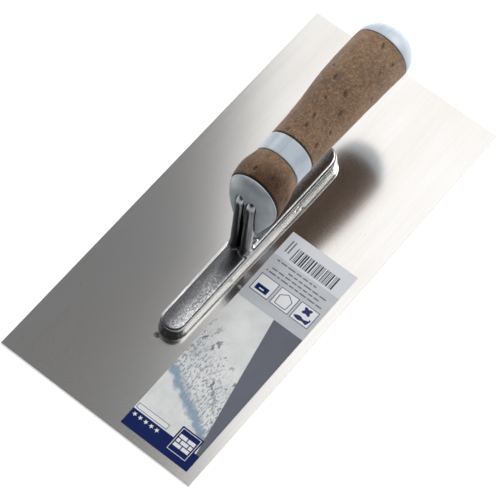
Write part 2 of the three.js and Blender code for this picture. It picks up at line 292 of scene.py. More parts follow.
def points_of(obj):
    """A mesh's points in millimetres."""
    points = np.empty(len(obj.data.vertices) * 3)
    obj.data.vertices.foreach_get("co", points)
    return points.reshape(-1, 3) / MM


def move_points(obj, points):
    """Gives a mesh new points in millimetres."""
    obj.data.vertices.foreach_set("co", (points * MM).ravel())
    obj.data.update()


def normals_of(obj):
    """A mesh's outward direction at each point."""
    normals = np.empty(len(obj.data.vertices) * 3)
    obj.data.vertex_normals.foreach_get("vector", normals)
    return normals.reshape(-1, 3)


def store(obj, name, values):
    """Keeps a value for each point of a mesh, for its finish to read."""
    kept = obj.data.attributes.new(name, "FLOAT", "POINT")
    kept.data.foreach_set("value", values.astype(np.float32))


def applied(obj):
    """Turns a piece's modifiers into mesh."""
    depsgraph = bpy.context.evaluated_depsgraph_get()
    mesh = bpy.data.meshes.new_from_object(obj.evaluated_get(depsgraph))
    obj.modifiers.clear()
    obj.data = mesh


def reskinned(obj, quad, rounds, sharp=40):
    """Melts a piece into one skin of even quads, whose edges are then relaxed."""
    skin = obj.modifiers.new("Skin", "REMESH")
    skin.mode = "VOXEL"
    skin.voxel_size = quad
    relax = obj.modifiers.new("Relax", "SMOOTH")
    relax.factor = 0.5
    relax.iterations = rounds
    applied(obj)
    finish_mesh(obj, sharp)


def joined(*shapes):
    """Several shapes as one set of points and faces."""
    points, faces, start = [], [], 0
    for some_points, some_faces in shapes:
        points.append(some_points)
        faces += [[start + i for i in face] for face in some_faces]
        start += len(some_points)
    return np.vstack(points), faces


def ripple(points, length, seed, count=9):
    """A gentle unevenness from -1 to 1 whose waves have a length in millimetres."""
    random = np.random.default_rng(seed)
    total = np.zeros(len(points))
    for _ in range(count):
        direction = random.normal(size=3)
        direction /= np.linalg.norm(direction)
        wave = length * random.uniform(0.7, 1.5)
        total += np.sin(points @ direction * (2 * math.pi / wave) + random.uniform(0, 6.3))
    return total / math.sqrt(count) / 1.5


# ------------------------------------------------------------------ the handle's form


def outline(x, column):
    """A smooth curve through one column of the handle's knots."""
    knots, values = HANDLE[:, 0], HANDLE[:, column]
    last = len(knots) - 1
    low, high = np.maximum(np.arange(last + 1) - 1, 0), np.minimum(np.arange(last + 1) + 1, last)
    slopes = (values[high] - values[low]) / (knots[high] - knots[low])
    i = np.clip(np.searchsorted(knots, x) - 1, 0, last - 1)
    span = knots[i + 1] - knots[i]
    t = (x - knots[i]) / span
    return (
        (2 * t**3 - 3 * t**2 + 1) * values[i]
        + (t**3 - 2 * t**2 + t) * span * slopes[i]
        + (3 * t**2 - 2 * t**3) * values[i + 1]
        + (t**3 - t**2) * span * slopes[i + 1]
    )


def handle_rings(profile, sides):
    """Rings of points on the handle. The profile gives x and the share of the way out to the
    surface from the middle line."""
    x, share = (column[:, None] for column in np.array(profile, float).T)
    angle = np.linspace(0, 2 * math.pi, sides, endpoint=False)[None, :]
    across, up = share * np.sin(angle), share * np.cos(angle)
    middle = outline(x, MIDDLE)
    reach = np.where(up > 0, outline(x, TOP) - middle, middle - outline(x, BOTTOM))
    narrow = 1 - outline(x, TAPER) * np.minimum(up, 0) ** 2
    y = across * outline(x, HALF) * narrow
    z = middle + up * reach + BLADE_TOP
    return np.stack([np.broadcast_to(x, y.shape), y, z], axis=-1)


def rounded_edge(x, length, depth, steps=5):
    """The profile of an edge that turns over: from the surface's share out to the full one."""
    turn = np.linspace(0, math.pi / 2, steps)
    return [(x + length * (1 - math.cos(t)), 1 - depth * (1 - math.sin(t))) for t in turn]


def sleeve_profile(start, end, edge, depth, step):
    """A tube's closed profile between two places, with rounded outer edges."""
    near = rounded_edge(start, edge, depth)
    far = rounded_edge(end, -edge, depth)
    count = max(2, int((end - start - 2 * edge) / step))
    between = [(x, 1.0) for x in np.linspace(start + edge, end - edge, count)[1:-1]]
    inside = [(x, INNER) for x in np.linspace(end, start, 6)]
    return near + between + far[::-1] + inside


def dome_profile(x, depth, steps=40, fullness=0.94):
    """A profile that closes round from a place to the tip of a dome."""
    turn = np.linspace(0, math.pi / 2, steps)
    shares = np.maximum(np.cos(turn), 0.0) ** fullness
    return [(x + depth * math.sin(t), max(s, 0.004)) for t, s in zip(turn, shares)]


# ------------------------------------------------------------------ the neck's form


def neck_section(grow=0.0):
    """The neck's section as (across, out) points, with out towards its ribbed face."""
    radius, side = RIB_RADIUS + grow, RIB_SPACING / 2
    rib, back = NECK_DEPTH / 2 - RIB_RADIUS, -NECK_DEPTH / 2 - grow
    half = [(WEB_HALF + grow, back), (side + radius - 0.3, back + WEB_BEVEL)]
    for turn in np.linspace(0, GROOVE_TURN, 18):
        across = max(side + radius * math.cos(turn), 0.05)
        half.append((across, rib + radius * math.sin(turn)))
    groove = [(0, NECK_DEPTH / 2 - GROOVE_DEPTH + grow)]
    return np.array(half + groove + [(-across, out) for across, out in half[::-1]])


def neck_line(end):
    """Places along the neck's middle line as (x, z): up from the bar, round, and inside."""
    start = np.array([NECK_X, NECK_START])
    bend_start = np.array([BEND_X - BEND_RADIUS, BEND_Z])
    line = [start + (bend_start - start) * t for t in np.linspace(0, 1, 24)[:-1]]
    for angle in np.linspace(0, math.pi / 2 - TANG_RISE, 20):
        back, up = BEND_RADIUS * math.cos(angle), BEND_RADIUS * math.sin(angle)
        line.append(np.array([BEND_X - back, BEND_Z + up]))
    last = line[-1]
    line.append(np.array([end, last[1] + (end - last[0]) * math.tan(TANG_RISE)]))
    return np.array(line)


def neck_shape(end, grow=0.0):
    """The neck as a closed solid, whose foot spreads where it meets the bar."""
    section, line = neck_section(grow), neck_line(end)
    along = np.gradient(line, axis=0)
    along /= np.linalg.norm(along, axis=1)[:, None]
    rings = []
    for (x, z), (dx, dz) in zip(line, along):
        spread = 1 + FOOT_SPREAD * np.clip(1 - (z - BAR_HEIGHT) / FOOT_REACH, 0, 1) ** 2
        across, out = section.T * spread
        rings.append(np.stack([x - dz * out, across, z + dx * out + BLADE_TOP], axis=1))
    return tube(np.array(rings))


def tang_shape(radius, start, end):
    """The round tang inside the handle."""
    rise = math.tan(TANG_RISE)
    middle = BEND_Z + BEND_RADIUS * math.cos(TANG_RISE) - BEND_X * rise + BLADE_TOP
    angle = np.linspace(0, 2 * math.pi, 40, endpoint=False)
    across, up = radius * np.cos(angle), radius * np.sin(angle)
    rings = [
        np.stack([x + 0 * angle, across, middle + x * rise + up], axis=1)
        for x in np.linspace(start, end, 8)
    ]
    return tube(np.array(rings))


def bar_half_width(x):
    """The bar's half width at its foot."""
    share = np.clip((x - BAR_FRONT) / (BAR_WIDEST - BAR_FRONT), 0, 1)
    return BAR_HALF_FRONT + (BAR_HALF_REAR - BAR_HALF_FRONT) * share


def bar_shape():
    """The mounting bar: round ends, flanks that lean in, a foot lip and a rounded top edge."""
    front, rear = BAR_FRONT + BAR_HALF_FRONT, BAR_REAR - BAR_HALF_REAR
    sides = np.linspace(front, rear, 40)
    turn = np.linspace(-math.pi / 2, math.pi / 2, 33)
    plan = [(x, -bar_half_width(x)) for x in sides[:-1]]
    plan += [(rear + BAR_HALF_REAR * math.cos(a), BAR_HALF_REAR * math.sin(a)) for a in turn]
    plan += [(x, bar_half_width(x)) for x in sides[-2::-1]]
    plan += [
        (front + BAR_HALF_FRONT * math.cos(a), BAR_HALF_FRONT * math.sin(a))
        for a in (turn + math.pi)[1:-1]
    ]
    x, y = np.array(plan).T
    middle = np.clip(x, front, rear)
    half = np.hypot(x - middle, y)
    edge = BAR_HEIGHT - BAR_EDGE
    levels = FOOT_LIP + [(z, 0) for z in (4, 6, edge)]
    for turn in np.linspace(0.15, math.pi / 2, 7):
        inset = BAR_EDGE_ACROSS * (1 - math.cos(turn))
        levels.append((edge + BAR_EDGE * math.sin(turn), inset))
    rings = []
    for z, inset in levels:
        share = z / BAR_HEIGHT
        leaning = half + (BAR_HALF_TOP - half) * share - inset
        upright = np.where(x > rear, half - inset, leaning)
        ring_x = middle + (x - middle) * upright / half
        rings.append(np.stack([ring_x, y * leaning / half, 0 * x + z + BLADE_TOP], axis=1))
    return tube(np.array(rings))


def gusset_shape():
    """The small web behind the neck's foot."""
    places = np.linspace(-GUSSET_HALF, GUSSET_HALF, 5)
    rings = [[(x, y, z + BLADE_TOP) for x, z in GUSSET] for y in places]
    return tube(np.array(rings))


# ------------------------------------------------------------------ finishes


def rolled_stainless_steel():
    """Cold-rolled stainless sheet, ground lengthwise: a soft, slightly drawn-out reflection with
    faint lines along the blade, a few rub marks and two spots of rust."""
    made, node, shader = material("rolled_stainless_steel", metallic=1.0, anisotropic=0.35)
    settings = bpy.context.scene.trowel_blade
    cloud = pattern(node, 60, stretch=(2, 1, 1), detail=2)
    lines = pattern(node, 0.8, stretch=(90, 1, 1), detail=2)
    streaks = pattern(node, 5, stretch=(26, 1, 1), detail=3, offset=(3, 1, 0))
    specks = pattern(node, 1.1, stretch=(1.6, 1, 1), detail=1, offset=(7, 0, 2))
    marked = layered(
        node,
        list(settings.steel_colour),
        (cloud, 0.35, 0.75, 0, 0.22, "#b9ada2"),
        (streaks, 0.3, 0.7, 0, 0.025, "#8f8c8a"),
        (lines, 0.35, 0.65, 0, 0.04, "#7d7a78"),
        (specks, 0.76, 0.82, 0, 0.35, "#6d6560"),
    )
    place = node("place")
    rust = 0.0
    for x, y, size, share in STAINS:
        away = node("distance", place, (x * MM, y * MM, BLADE_TOP * MM))
        reach = size * MM
        rag = node("range", specks, 0.3, 0.7, -0.25 * reach, 0.25 * reach)
        spread = node("range", node("add", away, rag), 0.2 * reach, reach, share, 0)
        rust = node("maximum", rust, spread)
    # The sheet is thinner than a stain is wide, so its underside is kept clean by height.
    height = node("Z", place)
    upper = node("range", height, (BLADE_TOP - 0.2) * MM, (BLADE_TOP - 0.1) * MM)
    rust = node("multiply", rust, upper)
    ground = settings.roughness
    rough = node(
        "add",
        node("range", streaks, 0.3, 0.7, ground - 0.002, ground + 0.004),
        node("range", cloud, 0.4, 0.7, 0, 0.015),
    )
    skinned(
        shader,
        node("mix", rust, marked, linear("#5a3416")),
        node("add", rough, node("multiply", rust, 0.4)),
        (lines, 0.001),
        (pattern(node, 90, detail=1), 0.03),
        Metallic=node("subtract", 1.0, rust),
    )
    return made


def polished_cast_aluminium():
    """Sand-cast aluminium, tumbled and buffed: bright and wavy, with a sandy sparkle left in the
    low places and a few open pores. Painted glints lighten the top's front right, painted light
    the flanks, and painted shade darkens the groove and the pores."""
    made, node, shader = material("polished_cast_aluminium", metallic=1.0)
    settings = bpy.context.scene.trowel_casting
    sand = pattern(node, 0.55, detail=4, roughness=0.7)
    patches = pattern(node, 9, stretch=(2.2, 1, 1), detail=3)
    scratches = pattern(node, 0.4, stretch=(30, 1, 1), detail=2, offset=(0, 5, 0))
    # Sand this coarse still shows as single dimples from arm's length.
    dimples = pattern(node, 1.1, detail=4, roughness=0.7, offset=(6, 3, 1))
    place = node("place")
    height = node("Z", place)
    # Painted light: the bar's flanks are painted brighter than its top.
    sideways = node("absolute", node("Y", node("facing")))
    painted_flank_light = node(
        "multiply",
        node("range", sideways, 0.7, 0.9),
        node("range", height, 10 * MM, 11 * MM, 0.85, 0),
    )
    # At the front, mostly on the right, the grain shows as dimples, and their rims get painted
    # glints.
    top = node("range", height, 11.2 * MM, 12 * MM, 1, 0)
    right = node("range", node("Y", place), 4 * MM, -4 * MM, 0.15, 1)
    front = node("range", node("X", place), -48 * MM, -30 * MM, 1, 0.3)
    grain_and_glint_zone = node("multiply", top, node("multiply", right, front))
    grained = layered(
        node,
        list(settings.metal_colour),
        (patches, 0.3, 0.62, 0.1, 0.85, "#8c8c8f"),
        (sand, 0.35, 0.5, 0.45, 0, "#5f5c5a"),
    )
    # Painted glints: the dimples' rims are mixed towards near white.
    painted_glints = node("multiply", node("range", dimples, 0.46, 0.64, 0, 0.6), grain_and_glint_zone)
    buffed = node("mix", painted_glints, grained, linear("#e9e9ea"))
    # Painted light: the flanks are mixed towards near white.
    ground = node("mix", painted_flank_light, buffed, linear("#f0f0ef"))
    # Painted shade in the groove's bottom and the open pores, stored on the casting.
    recess_shade = node("attribute", attribute_name="recess_shade")
    rough = node(
        "add",
        node("range", patches, 0.3, 0.7, 0.10, 0.19),
        node("range", sand, 0.3, 0.7, 0, 0.06),
    )
    dimpled = node("multiply", dimples, grain_and_glint_zone)
    dimpled = node("multiply", dimpled, node("subtract", 1.0, painted_flank_light))
    sand_depth = settings.sand_depth / MM
    skinned(
        shader,
        layered(node, ground, (recess_shade, 0.2, 0.8, 0, 0.96, "#0f0d0c")),
        rough,
        (scratches, 0.01),
        (dimpled, 3 * sand_depth),
        (sand, sand_depth),
    )
    return made


def zinc_plated_steel():
    """Bright zinc on turned steel: grey-blue, a little cloudy, with fine turning marks."""
    made, node, shader = material("zinc_plated_steel", metallic=1.0)
    cloud = pattern(node, 2.5, detail=3)
    skinned(
        shader,
        layered(node, linear("#a3a6ab"), (cloud, 0.3, 0.7, 0, 1, "#7f8288")),
        node("range", cloud, 0.3, 0.7, 0.28, 0.42),
        (pattern(node, 0.3, detail=2), 0.008),
    )
    return made


def moulded_abs(name, colour, shade):
    """Injection-moulded ABS: an even blue-grey with a satin skin, broad soft highlights, faint
    flow clouds, handling scuffs and the parting line of its mould along the top."""
    made, node, shader = material(name, ior=1.54, coat_weight=0.12, coat_roughness=0.2)
    place = node("place")
    from_middle = node("absolute", node("Y", place))
    parting = node(
        "multiply",
        node("range", from_middle, 0.10 * MM, 0.45 * MM, 1, 0),
        node("range", node("Z", place), 60 * MM, 66 * MM),
    )
    flow = pattern(node, 14, detail=2)
    scuffs = pattern(node, 1.2, stretch=(5, 1, 1), detail=3, offset=(2, 0, 4))
    scuffed = layered(
        node,
        colour,
        (flow, 0.35, 0.65, 0, 1, shade),
        (scuffs, 0.62, 0.75, 0, 0.25, "#e4e8ee"),
    )
    rough = node(
        "add",
        node("range", flow, 0.3, 0.7, 0.30, 0.36),
        node("range", scuffs, 0.6, 0.75, 0, 0.12),
    )
    skinned(
        shader,
        node("mix", node("multiply", parting, 0.25), scuffed, linear("#7c8a99")),
        rough,
        (pattern(node, 0.5, detail=2), 0.006),
        (parting, 0.05),
    )
    return made


def brown_leather():
    """Thick vegetable-tanned leather with a buffed, open face: matt and mottled, a felted grain,
    darker pores, and painted shade on the front sleeve and the underside."""
    made, node, shader = material("brown_leather", ior=1.45, sheen_weight=0.12, sheen_roughness=0.5)
    cloud = pattern(node, 15, detail=3)
    mottle = pattern(node, 2.6, detail=4, roughness=0.7, offset=(4, 2, 1))
    grain = pattern(node, 0.9, detail=3, roughness=0.7, offset=(1, 8, 3))
    flecks = pattern(node, 1.5, stretch=(1.8, 1, 1), detail=2, offset=(9, 3, 6))
    warm = pattern(node, 8, detail=2, offset=(5, 5, 9))
    pits = node("attribute", attribute_name="pit")
    pitted = layered(
        node,
        list(bpy.context.scene.trowel_handle.leather_colour),
        (cloud, 0.38, 0.66, 0, 0.75, "#6f5643"),
        (warm, 0.5, 0.72, 0, 0.5, "#986c47"),
        (mottle, 0.42, 0.64, 0, 0.7, "#a98865"),
        (grain, 0.54, 0.36, 0, 0.74, "#573f2d"),
        (flecks, 0.66, 0.76, 0, 0.5, "#bb9c79"),
        (pits, 0.1, 0.8, 0, 0.85, "#4c321f"),
    )
    # Painted shade: the front sleeve is darkened in patches, and the underside where it faces down.
    painted_front_shade = node(
        "multiply",
        node("range", node("X", node("place")), 12 * MM, -3 * MM),
        node("range", cloud, 0.30, 0.62, 0.3, 1),
    )
    # Painted shade: the leather is darkened where it faces down.
    under = node("range", node("Z", node("facing")), -0.1, -0.7)
    front_shaded = node("tint", painted_front_shade, pitted, linear("#b4a292"))
    skinned(
        shader,
        node("tint", under, front_shaded, linear("#bdb9b8")),
        node("range", mottle, 0.3, 0.7, 0.62, 0.82),
        (grain, 0.11),
        (mottle, 0.22),
    )
    return made


def dark_rubber():
    """Dark sealing rubber pressed into the joints: near black, dull and slightly dusty."""
    made, node, shader = material("dark_rubber", ior=1.5)
    dust = pattern(node, 1.0, detail=3)
    skinned(
        shader,
        layered(node, linear("#1c1410"), (dust, 0.4, 0.75, 0, 1, "#3c2f27")),
        node("range", dust, 0.3, 0.7, 0.6, 0.85),
        (dust, 0.03),
    )
    return made


def printed_film(name, code, worn, mottle=0.25):
    """Ink on matt label film: flat colour with a little print mottle, and tiny scratches that
    break what gloss it has."""
    made, node, shader = material(name, ior=1.45, specular_ior_level=0.2)
    speckle = pattern(node, 0.8, detail=2)
    cloud = pattern(node, 9, detail=2, offset=(2, 7, 0))
    rubbed = pattern(node, 0.9, stretch=(9, 1, 1), detail=3, offset=(6, 1, 2))
    mottled = layered(
        node,
        linear(code),
        (speckle, 0.4, 0.7, 0, mottle, worn),
        (cloud, 0.35, 0.7, 0, mottle * 0.6, worn),
    )
    rough = node("range", rubbed, 0.4, 0.75, 0.45, 0.6)
    skinned(shader, mottled, rough, (rubbed, 0.01))
    return made


def plaster_picture():
    """The label's picture of fresh plaster being spread: an off-white skim with a shadowed ridge
    across it and dark crumbs behind the ridge, on matt film."""
    made, node, shader = material("printed_plaster_film", ior=1.45, specular_ior_level=0.2)
    # How far behind the ridge a place lies: the ridge crosses the label at a slant.
    back = Vector((0.859, -0.513, 0))
    ridge_at = back.dot(Vector((LABEL_LOW.x + 33.1, LABEL_LOW.y + 26.8, 0))) * MM
    slant = node("subtract", node("dot", node("place"), back), ridge_at)
    wobble = node("range", pattern(node, 5, detail=4), 0.3, 0.7, -1.5 * MM, 1.5 * MM)
    behind = node("add", slant, wobble)
    crumbs = pattern(node, 1.0, stretch=(2.4, 1, 1), detail=2, offset=(3, 3, 0))
    clods = pattern(node, 4.5, stretch=(1.9, 1, 1), detail=3, roughness=0.7, offset=(8, 2, 0))
    grain = pattern(node, 0.8, detail=2, offset=(1, 1, 5))
    colour = layered(
        node,
        linear("#fcfcfa"),
        (pattern(node, 16, detail=3), 0.3, 0.7, 0, 1, "#edefef"),
        (grain, 0.56, 0.7, 0, 0.35, "#c0c4c8"),
    )
    # Where each mark starts and is full behind the ridge, where it fades and is gone, in
    # millimetres, what breaks it up, its share and its colour.
    marks = [
        ((-4.4, -1.0, -0.6, 5.4), 1.0, 0.8, "#7f9fbd"),
        ((-3, 3, 13, 31), node("range", crumbs, 0.48, 0.60), 0.75, "#8d97a6"),
        ((9, 16, 26, 34), node("range", clods, 0.58, 0.61), 0.8, "#6b6f78"),
    ]
    for (start, full, fading, gone), broken, share, code in marks:
        come = node("range", behind, start * MM, full * MM)
        go = node("range", behind, fading * MM, gone * MM, share, 0)
        mask = node("multiply", node("multiply", come, go), broken)
        colour = node("mix", mask, colour, linear(code))
    skinned(shader, colour, node("range", grain, 0.3, 0.7, 0.45, 0.56), (grain, 0.01))
    return made


def lit_white_acrylic():
    """Opal acrylic lit from below: an even white ground that glows a little and so shows
    hardly any shadow."""
    made, node, shader = material(
        "lit_white_acrylic",
        ior=1.49,
        specular_ior_level=0.1,
        roughness=0.9,
        emission_color=linear("#ffffff"),
        emission_strength=bpy.context.scene.trowel_studio.ground_glow,
    )
    cloud = pattern(node, 400, detail=1)
    white = layered(node, linear("#f8f8f8"), (cloud, 0.3, 0.7, 0, 1, "#f5f5f5"))
    shader.id_data.links.new(white, shader.inputs["Base Color"])
    return made


def wears(obj, finish):
    """Puts one finish on the whole of a piece."""
    obj.data.materials.clear()
    obj.data.materials.append(finish)
    for face in obj.data.polygons:
        face.material_index = 0


# ------------------------------------------------------------------ settings


def number_setting(name, description, default, low, high, scale=1, **kind):
    """A number that can be set."""
    return FloatProperty(
        name=name,
        description=description,
        default=default * scale,
        min=low * scale,
        max=high * scale,
        **kind,
    )


def length_setting(*values):
    """A length that can be set, from values in millimetres."""
    return number_setting(*values, scale=MM, precision=5, subtype="DISTANCE", unit="LENGTH")


def angle_setting(name, description, degrees):
    """An angle that can be set."""
    return FloatProperty(
        name=name, description=description, default=math.radians(degrees), subtype="ANGLE"
    )


def colour_setting(name, description, code):
    """A colour that can be set."""
    return FloatVectorProperty(
        name=name,
        description=description,
        default=linear(code),
        size=4,
        min=0,
        max=1,
        subtype="COLOR",
    )


class BladeSettings(bpy.types.PropertyGroup):
    edge_width: length_setting("Edge Width", "Width of the worn bevel", 0.12, 0.01, 0.3)
    roughness: number_setting(
        "Roughness", "How far the ground surface blurs its reflection", 0.15, 0.05, 0.6
    )
    steel_colour: colour_setting("Steel Colour", "Colour of clean sheet", "#d8d6d3")


class CastingSettings(bpy.types.PropertyGroup):
    skin_size: length_setting("Skin Size", "Side of the quads of the skin", 0.42, 0.2, 1)
    crown: length_setting("Crown", "Rise of the bar's top along its middle", 0.35, 0, 1)
    sand_depth: length_setting("Sand Depth", "Depth of the mould's grain", 0.04, 0, 0.2)
    metal_colour: colour_setting("Metal Colour", "Colour of the buffed metal", "#b6b6b8")


class HandleSettings(bpy.types.PropertyGroup):
    leather_colour: colour_setting("Leather Colour", "Main colour of the leather", "#8b6e56")
    plastic_colour: colour_setting("Plastic Colour", "Main colour of the collar", "#b4c0cc")
    pit_depth: length_setting("Pit Depth", "Depth of the dark pits in the leather", 0.45, 0, 1)
    pit_spacing: length_setting("Pit Spacing", "Usual distance between pits", 12, 3, 30)
    sides: IntProperty(
        name="Sides", description="Points round each leather sleeve", default=300, min=64, max=600
    )


class StudioSettings(bpy.types.PropertyGroup):
    room_light: number_setting("Room Light", "Brightness of the light all round", 0.285, 0, 3)
    ground_glow: number_setting("Ground Glow", "Brightness of the lit ground", 0.5, 0, 2)
    azimuth: angle_setting("Camera Azimuth", "Direction the camera stands in", -58.49)
    elevation: angle_setting("Camera Elevation", "Height of the camera above the horizon", 61.6)
    roll: angle_setting("Camera Roll", "Turn of the camera about its own line of sight", 7.67)
    distance: length_setting("Camera Distance", "From the camera to its aim", 1314, 300, 5000)


# ------------------------------------------------------------------ the label's marks

# Places on the label run from its front right corner, in millimetres, along the blade (u) and
# across it (v).


def box(u0, v0, u1, v1):
    """A rectangle."""
    return [(u0, v0), (u1, v0), (u1, v1), (u0, v1)]


def border(u0, v0, u1, v1, width):
    """The four sides of a rectangle as thin areas."""
    low, high = v0 + width, v1 - width
    ends = [box(u0, v0, u1, low), box(u0, high, u1, v1)]
    return ends + [box(u0, low, u0 + width, high), box(u1 - width, low, u1, high)]


def star(u, v, radius):
    """A five-pointed star."""
    points = []
    for i in range(10):
        reach = radius if i % 2 == 0 else 0.42 * radius
        angle = math.pi * i / 5 + math.pi
        points.append((u + reach * math.cos(angle), v + reach * math.sin(angle)))
    return points


def bricks(u, v):
    """Three courses of a plain brick wall, each given by where its bricks start and end."""
    whole, offset = (-5, -0.3, 0.3, 5), (-5, -2.9, -2.3, 2.3, 2.9, 5)
    wall = []
    for course, ends in enumerate([whole, offset, whole]):
        low = u - 3.9 + 2.8 * course
        wall += [box(low, v + a, low + 2.2, v + b) for a, b in zip(ends[::2], ends[1::2])]
    return wall


def house(u, v, reach):
    """A gabled outline, drawn as five thin strips."""
    eaves, foot = u + 0.35 * reach, u - reach
    corners = [(foot, v - 0.85 * reach), (eaves, v - 0.95 * reach), (u + reach, v)]
    corners += [(eaves, v + 0.95 * reach), (foot, v + 0.85 * reach)]
    strips = []
    for (u0, v0), (u1, v1) in zip(corners, corners[1:] + corners[:1]):
        share = 0.22 / math.hypot(u1 - u0, v1 - v0)
        du, dv = (v0 - v1) * share, (u1 - u0) * share
        near = [(u0 - du, v0 - dv), (u1 - du, v1 - dv)]
        strips.append(near + [(u1 + du, v1 + dv), (u0 + du, v0 + dv)])
    return strips


def hide(u, v, reach):
    """A tanned hide: a rounded body with four legs."""
    points = []
    for i in range(36):
        angle = 2 * math.pi * i / 36
        bulge = reach * (0.82 + 0.24 * math.cos(4 * (angle - math.pi / 4)))
        points.append((u + bulge * math.cos(angle), v + 1.15 * bulge * math.sin(angle)))
    return points


def grip(u, v):
    """A handle seen from the side: a slim waisted bar with a hooked end."""
    upper = [(u + 1.1 + 0.4 * math.cos(t * 0.9), v - 4 + t * 0.8) for t in range(11)]
    lower = [(u - 1.1 - 0.3 * math.cos(t * 0.9), v - 4 + t * 0.8) for t in range(10, -1, -1)]
    return upper + [(u - 0.2, v + 5.0)] + lower + [(u + 2.2, v - 5.2), (u + 2.9, v - 3.9)]


def word_bars():
    """Rows of short plain bars where a label has its small print."""
    random = np.random.default_rng(7)
    bars = []
    for u, start, end in [(121.4, 4, 41), (124.2, 8, 39), (127.0, 5, 30), (130.0, 14, 40)]:
        v = start
        while v < end:
            length = random.uniform(1.8, 5.2)
            bars.append(box(u, v, u + 0.85, min(v + length, end + 1)))
            v += length + 0.9
    bars += [box(137.0, v, 145.5, v + 0.8) for v in (38.6, 40.6)]
    return bars + [box(88.5, 5.6, 96.5, 6.8)]


def stripe_bars():
    """Bars of uneven width side by side, which stand for no number."""
    random = np.random.default_rng(3)
    bars, v = [], 7.0
    while v < 36.4:
        width = random.choice([0.3, 0.3, 0.6, 0.9])
        bars.append(box(134.4, v, 143.4, min(v + width, 36.8)))
        v += width + random.choice([0.45, 0.5, 0.9])
    return bars


def ink(name, layer, finish, outlines):
    """Thin printed areas, of which higher layers lie on lower ones."""
    low = LABEL_HIGH.z + INK * (layer - 1) + INK_GAP
    shapes = []
    for corners in outlines:
        rings = [
            [(LABEL_LOW.x + u, LABEL_LOW.y + v, z) for u, v in corners] for z in (low, low + INK)
        ]
        shapes.append(tube(np.array(rings)))
    wears(piece(name, joined(*shapes)), finish)


# ------------------------------------------------------------------ pieces


class TROWEL_OT_blade(bpy.types.Operator):
    """Builds the steel blade with softened edges"""

    bl_idname = "trowel.blade"
    bl_label = "Blade"

    def execute(self, context):
        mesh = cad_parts["blade"].data.copy()
        mesh.materials.clear()
        work = bmesh.new()
        work.from_mesh(mesh)
        bmesh.ops.remove_doubles(work, verts=work.verts, dist=0.001 * MM)
        bmesh.ops.dissolve_limit(
            work, angle_limit=math.radians(1), verts=work.verts, edges=work.edges
        )
        sharp = [e for e in work.edges if e.calc_face_angle(0) > math.radians(60)]
        bmesh.ops.bevel(
            work,
            geom=sharp,
            offset=context.scene.trowel_blade.edge_width,
            segments=3,
            profile=0.5,
            affect="EDGES",
            clamp_overlap=True,
        )
        work.to_mesh(mesh)
        work.free()
        blade = placed("steel_blade", mesh)
        wears(blade, rolled_stainless_steel())
        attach(blade, "root")
        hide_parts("blade")
        return {"FINISHED"}


class TROWEL_OT_rivets(bpy.types.Operator):
    """Builds the rivets whose flat heads lie flush in the blade's underside"""

    bl_idname = "trowel.rivets"
    bl_label = "Rivets"

    def execute(self, context):
        finish = zinc_plated_steel()
        angle = np.linspace(0, 2 * math.pi, 48, endpoint=False)
        for i, x in enumerate(RIVET_PLACES):
            rings = [
                np.stack([x + r * np.cos(angle), r * np.sin(angle), 0 * angle + z], axis=1)
                for r, z in RIVET
            ]
            node = f"blade_rivet_{i + 1}"
            rivet = piece(f"flush_rivet_{i + 1}", tube(np.array(rings)), [node])
            wears(rivet, finish)
        return {"FINISHED"}


class TROWEL_OT_casting(bpy.types.Operator):
    """Builds the mounting bar, its double-ribbed neck and the tang as one casting"""

    bl_idname = "trowel.casting"
    bl_label = "Shank Casting"

    def execute(self, context):
        settings = context.scene.trowel_casting
        tang = tang_shape(TANG_RADIUS, TANG_START, TANG_END)
        parts = joined(bar_shape(), neck_shape(NECK_END), tang, gusset_shape())
        casting = piece("cast_shank", parts, ["shank_casting"])
        reskinned(casting, settings.skin_size, 7, sharp=60)
        points = points_of(casting)
        height = points[:, 2] - BLADE_TOP
        # The bar's top is crowned, and buffing leaves all of the casting a little wavy.
        on_top = np.clip((height - 5.5) / 4, 0, 1) * (height < BAR_HEIGHT + 0.4)
        fall = np.minimum((points[:, 1] / BAR_HALF_TOP) ** 2, 1.3) * settings.crown / MM
        points[:, 2] -= on_top * fall
        out = normals_of(casting)
        wave = sum(depth * ripple(points, length, seed) for depth, length, seed in WAVES)
        resting = np.clip(height / 1.5, 0, 1) * np.where(height > BAR_HEIGHT + 2, 0.35, 1)
        points += out * (wave * resting)[:, None]
        pores = np.zeros(len(points))
        for x, y, z, size in PORES:
            away = np.linalg.norm((points - (x, y, z + BLADE_TOP)) / (1.6, 1.5, 1), axis=1)
            sunk = np.exp(-((away / size) ** 2))
            points -= out * (PORE_DEPTH * sunk)[:, None]
            pores = np.maximum(pores, sunk)
        move_points(casting, points)
        # Painted shade: the bottom of the groove and the open pores are darkened near black.
        recess_shade = np.exp(-((points[:, 1] / 1.6) ** 2)) * np.clip((height - BAR_HEIGHT) / 2, 0, 1)
        recess_shade *= out[:, 0] < 0.3
        store(casting, "recess_shade", np.maximum(recess_shade, pores))
        wears(casting, polished_cast_aluminium())
        return {"FINISHED"}


